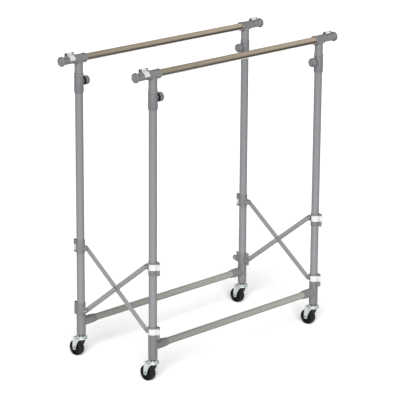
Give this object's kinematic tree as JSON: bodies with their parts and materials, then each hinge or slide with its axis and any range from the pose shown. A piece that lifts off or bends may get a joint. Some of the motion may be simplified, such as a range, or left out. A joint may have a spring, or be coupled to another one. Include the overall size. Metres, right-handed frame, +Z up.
{
  "type": "garment rail",
  "caption": "Free-standing double garment rail: height-adjustable hanging rails with pull-out ends on a folding braced tube frame with swivel casters.",
  "frame": {"origin": "on the floor, under the middle of the object's bounding box", "axes": "+X along the rails to the right-hand posts, +Y from the front frame to the rear frame, +Z up"},
  "size_m": [0.8956, 0.3908, 0.9824],
  "materials": {
    "post": "satin silver-grey paint",
    "inner_tube": "bright plated steel",
    "rail": "bright plated steel",
    "base_bar": "satin silver-grey paint",
    "collar": "matt grey moulding",
    "knob": "matt grey moulding",
    "fitting": "matt grey moulding",
    "lever": "white moulding",
    "extension_rod": "plated tube with a grey end stop",
    "brace": "satin grey paint",
    "fork": "bright zinc plate",
    "wheel": "black with a dark grey tread"
  },
  "bodies": {
    "front_frame": {"front_base_bar": "base_bar", "front_left_post": "post", "front_left_lower_tee": "fitting", "front_left_height_collar": "collar", "front_left_lower_clamp": "fitting", "front_right_post": "post", "front_right_lower_tee": "fitting", "front_right_height_collar": "collar", "front_right_lower_clamp": "fitting"},
    "front_rail_set": {"front_rail": "rail", "front_left_top_tee": "fitting", "front_left_inner_tube": "inner_tube", "front_right_top_tee": "fitting", "front_right_inner_tube": "inner_tube"},
    "rear_frame": {"rear_base_bar": "base_bar", "rear_left_post": "post", "rear_left_lower_tee": "fitting", "rear_left_height_collar": "collar", "rear_right_post": "post", "rear_right_lower_tee": "fitting", "rear_right_height_collar": "collar"},
    "rear_rail_set": {"rear_rail": "rail", "rear_left_top_tee": "fitting", "rear_left_inner_tube": "inner_tube", "rear_right_top_tee": "fitting", "rear_right_inner_tube": "inner_tube"},
    "left_brace_a": {"left_brace_a": "brace"},
    "left_brace_b": {"left_brace_b": "brace"},
    "front_left_upper_clamp": {"front_left_upper_clamp": "fitting"},
    "front_left_upper_lever": {"front_left_upper_lever": "lever"},
    "front_left_rail_lever": {"front_left_rail_lever": "lever"},
    "front_left_height_knob": {"front_left_height_knob": "knob"},
    "front_left_extension_rod": {"front_left_extension_rod": "extension_rod"},
    "front_left_caster_fork": {"front_left_caster_fork": "fork"},
    "front_left_caster_wheel": {"front_left_caster_wheel": "wheel"},
    "rear_left_upper_clamp": {"rear_left_upper_clamp": "fitting"},
    "rear_left_upper_lever": {"rear_left_upper_lever": "lever"},
    "rear_left_rail_lever": {"rear_left_rail_lever": "lever"},
    "rear_left_height_knob": {"rear_left_height_knob": "knob"},
    "rear_left_extension_rod": {"rear_left_extension_rod": "extension_rod"},
    "rear_left_caster_fork": {"rear_left_caster_fork": "fork"},
    "rear_left_caster_wheel": {"rear_left_caster_wheel": "wheel"},
    "front_left_lower_lever": {"front_left_lower_lever": "lever"},
    "right_brace_a": {"right_brace_a": "brace"},
    "right_brace_b": {"right_brace_b": "brace"},
    "front_right_upper_clamp": {"front_right_upper_clamp": "fitting"},
    "front_right_upper_lever": {"front_right_upper_lever": "lever"},
    "front_right_rail_lever": {"front_right_rail_lever": "lever"},
    "front_right_height_knob": {"front_right_height_knob": "knob"},
    "front_right_extension_rod": {"front_right_extension_rod": "extension_rod"},
    "front_right_caster_fork": {"front_right_caster_fork": "fork"},
    "front_right_caster_wheel": {"front_right_caster_wheel": "wheel"},
    "rear_right_upper_clamp": {"rear_right_upper_clamp": "fitting"},
    "rear_right_upper_lever": {"rear_right_upper_lever": "lever"},
    "rear_right_rail_lever": {"rear_right_rail_lever": "lever"},
    "rear_right_height_knob": {"rear_right_height_knob": "knob"},
    "rear_right_extension_rod": {"rear_right_extension_rod": "extension_rod"},
    "rear_right_caster_fork": {"rear_right_caster_fork": "fork"},
    "rear_right_caster_wheel": {"rear_right_caster_wheel": "wheel"},
    "front_right_lower_lever": {"front_right_lower_lever": "lever"}
  },
  "joints": [
    {"name": "fold", "type": "hinge", "parent": "front_frame", "child": "left_brace_a", "pos_m": [-0.3725, -0.14358, 0.15875], "axis": [1, 0, 0], "range_deg": [0, 40]},
    {"name": "left_brace_cross", "type": "hinge", "parent": "left_brace_a", "child": "left_brace_b", "pos_m": [-0.3725, -0.01059, 0.26125], "axis": [1, 0, 0], "range_deg": [-80, 0]},
    {"name": "rear_frame_pivot", "type": "hinge", "parent": "left_brace_b", "child": "rear_frame", "pos_m": [-0.3725, 0.12241, 0.15875], "axis": [1, 0, 0], "range_deg": [0, 40]},
    {"name": "front_left_upper_clamp_pivot", "type": "hinge", "parent": "left_brace_b", "child": "front_left_upper_clamp", "pos_m": [-0.3725, -0.14358, 0.36375], "axis": [1, 0, 0], "range_deg": [0, 40]},
    {"name": "rear_left_upper_clamp_pivot", "type": "hinge", "parent": "left_brace_a", "child": "rear_left_upper_clamp", "pos_m": [-0.3725, 0.12241, 0.36375], "axis": [1, 0, 0], "range_deg": [-40, 0]},
    {"name": "right_brace_a_pivot", "type": "hinge", "parent": "front_frame", "child": "right_brace_a", "pos_m": [0.3725, -0.14358, 0.15875], "axis": [1, 0, 0], "range_deg": [0, 40]},
    {"name": "right_brace_cross", "type": "hinge", "parent": "right_brace_a", "child": "right_brace_b", "pos_m": [0.3725, -0.01059, 0.26125], "axis": [1, 0, 0], "range_deg": [-80, 0]},
    {"name": "front_right_upper_clamp_pivot", "type": "hinge", "parent": "right_brace_b", "child": "front_right_upper_clamp", "pos_m": [0.3725, -0.14358, 0.36375], "axis": [1, 0, 0], "range_deg": [0, 40]},
    {"name": "rear_right_upper_clamp_pivot", "type": "hinge", "parent": "right_brace_a", "child": "rear_right_upper_clamp", "pos_m": [0.3725, 0.12241, 0.36375], "axis": [1, 0, 0], "range_deg": [-40, 0]},
    {"name": "front_rail_height", "type": "slide", "parent": "front_frame", "child": "front_rail_set", "axis": [0, 0, 1], "range_m": [0, 0.6]},
    {"name": "rear_rail_height", "type": "slide", "parent": "rear_frame", "child": "rear_rail_set", "axis": [0, 0, 1], "range_m": [0, 0.6]},
    {"name": "front_left_extension", "type": "slide", "parent": "front_rail_set", "child": "front_left_extension_rod", "axis": [-1, 0, 0], "range_m": [0, 0.25]},
    {"name": "front_left_rail_lever_pin", "type": "hinge", "parent": "front_rail_set", "child": "front_left_rail_lever", "pos_m": [-0.407, -0.16609, 0.978], "axis": [-1, 0, 0], "range_deg": [0, 100]},
    {"name": "front_left_height_knob_turn", "type": "hinge", "parent": "front_frame", "child": "front_left_height_knob", "pos_m": [-0.3445, -0.17058, 0.889], "axis": [1, 0, 0], "range_deg": [0, 360]},
    {"name": "front_left_caster_swivel", "type": "hinge", "parent": "front_frame", "child": "front_left_caster_fork", "pos_m": [-0.3725, -0.17058, 0.066], "axis": [0, 0, 1], "continuous": true},
    {"name": "front_left_wheel_axle", "type": "hinge", "parent": "front_left_caster_fork", "child": "front_left_caster_wheel", "pos_m": [-0.3725, -0.14958, 0.025], "axis": [1, 0, 0], "continuous": true},
    {"name": "front_left_upper_lever_pin", "type": "hinge", "parent": "front_left_upper_clamp", "child": "front_left_upper_lever", "pos_m": [-0.369, -0.19059, 0.36375], "axis": [0, 0, 1], "range_deg": [0, 100]},
    {"name": "front_right_extension", "type": "slide", "parent": "front_rail_set", "child": "front_right_extension_rod", "axis": [1, 0, 0], "range_m": [0, 0.25]},
    {"name": "front_right_rail_lever_pin", "type": "hinge", "parent": "front_rail_set", "child": "front_right_rail_lever", "pos_m": [0.407, -0.17508, 0.978], "axis": [1, 0, 0], "range_deg": [0, 100]},
    {"name": "front_right_height_knob_turn", "type": "hinge", "parent": "front_frame", "child": "front_right_height_knob", "pos_m": [0.3445, -0.17058, 0.889], "axis": [-1, 0, 0], "range_deg": [0, 360]},
    {"name": "front_right_caster_swivel", "type": "hinge", "parent": "front_frame", "child": "front_right_caster_fork", "pos_m": [0.3725, -0.17058, 0.066], "axis": [0, 0, 1], "continuous": true},
    {"name": "front_right_wheel_axle", "type": "hinge", "parent": "front_right_caster_fork", "child": "front_right_caster_wheel", "pos_m": [0.3725, -0.14958, 0.025], "axis": [1, 0, 0], "continuous": true},
    {"name": "front_right_upper_lever_pin", "type": "hinge", "parent": "front_right_upper_clamp", "child": "front_right_upper_lever", "pos_m": [0.376, -0.19059, 0.36375], "axis": [0, 0, 1], "range_deg": [0, 100]},
    {"name": "rear_left_extension", "type": "slide", "parent": "rear_rail_set", "child": "rear_left_extension_rod", "axis": [-1, 0, 0], "range_m": [0, 0.25]},
    {"name": "rear_left_rail_lever_pin", "type": "hinge", "parent": "rear_rail_set", "child": "rear_left_rail_lever", "pos_m": [-0.407, 0.15391, 0.978], "axis": [-1, 0, 0], "range_deg": [0, 100]},
    {"name": "rear_left_height_knob_turn", "type": "hinge", "parent": "rear_frame", "child": "rear_left_height_knob", "pos_m": [-0.3445, 0.14941, 0.889], "axis": [1, 0, 0], "range_deg": [0, 360]},
    {"name": "rear_left_caster_swivel", "type": "hinge", "parent": "rear_frame", "child": "rear_left_caster_fork", "pos_m": [-0.3725, 0.14941, 0.066], "axis": [0, 0, 1], "continuous": true},
    {"name": "rear_left_wheel_axle", "type": "hinge", "parent": "rear_left_caster_fork", "child": "rear_left_caster_wheel", "pos_m": [-0.3725, 0.17042, 0.025], "axis": [1, 0, 0], "continuous": true},
    {"name": "rear_left_upper_lever_pin", "type": "hinge", "parent": "rear_left_upper_clamp", "child": "rear_left_upper_lever", "pos_m": [-0.376, 0.16942, 0.36375], "axis": [0, 0, 1], "range_deg": [0, 100]},
    {"name": "rear_right_extension", "type": "slide", "parent": "rear_rail_set", "child": "rear_right_extension_rod", "axis": [1, 0, 0], "range_m": [0, 0.25]},
    {"name": "rear_right_rail_lever_pin", "type": "hinge", "parent": "rear_rail_set", "child": "rear_right_rail_lever", "pos_m": [0.407, 0.14491, 0.978], "axis": [1, 0, 0], "range_deg": [0, 100]},
    {"name": "rear_right_height_knob_turn", "type": "hinge", "parent": "rear_frame", "child": "rear_right_height_knob", "pos_m": [0.3445, 0.14941, 0.889], "axis": [-1, 0, 0], "range_deg": [0, 360]},
    {"name": "rear_right_caster_swivel", "type": "hinge", "parent": "rear_frame", "child": "rear_right_caster_fork", "pos_m": [0.3725, 0.14941, 0.066], "axis": [0, 0, 1], "continuous": true},
    {"name": "rear_right_wheel_axle", "type": "hinge", "parent": "rear_right_caster_fork", "child": "rear_right_caster_wheel", "pos_m": [0.3725, 0.17042, 0.025], "axis": [1, 0, 0], "continuous": true},
    {"name": "rear_right_upper_lever_pin", "type": "hinge", "parent": "rear_right_upper_clamp", "child": "rear_right_upper_lever", "pos_m": [0.369, 0.16942, 0.36375], "axis": [0, 0, 1], "range_deg": [0, 100]},
    {"name": "front_left_lower_lever_pin", "type": "hinge", "parent": "front_frame", "child": "front_left_lower_lever", "pos_m": [-0.369, -0.19059, 0.15875], "axis": [0, 0, 1], "range_deg": [0, 100]},
    {"name": "front_right_lower_lever_pin", "type": "hinge", "parent": "front_frame", "child": "front_right_lower_lever", "pos_m": [0.376, -0.19059, 0.15875], "axis": [0, 0, 1], "range_deg": [0, 100]}
  ],
  "couplings": [
    {"joint": "left_brace_cross", "follows": "fold", "ratio": -2},
    {"joint": "rear_frame_pivot", "follows": "fold", "ratio": 1},
    {"joint": "front_left_upper_clamp_pivot", "follows": "fold", "ratio": 1},
    {"joint": "rear_left_upper_clamp_pivot", "follows": "fold", "ratio": -1},
    {"joint": "right_brace_a_pivot", "follows": "fold", "ratio": 1},
    {"joint": "right_brace_cross", "follows": "fold", "ratio": -2},
    {"joint": "front_right_upper_clamp_pivot", "follows": "fold", "ratio": 1},
    {"joint": "rear_right_upper_clamp_pivot", "follows": "fold", "ratio": -1}
  ]
}
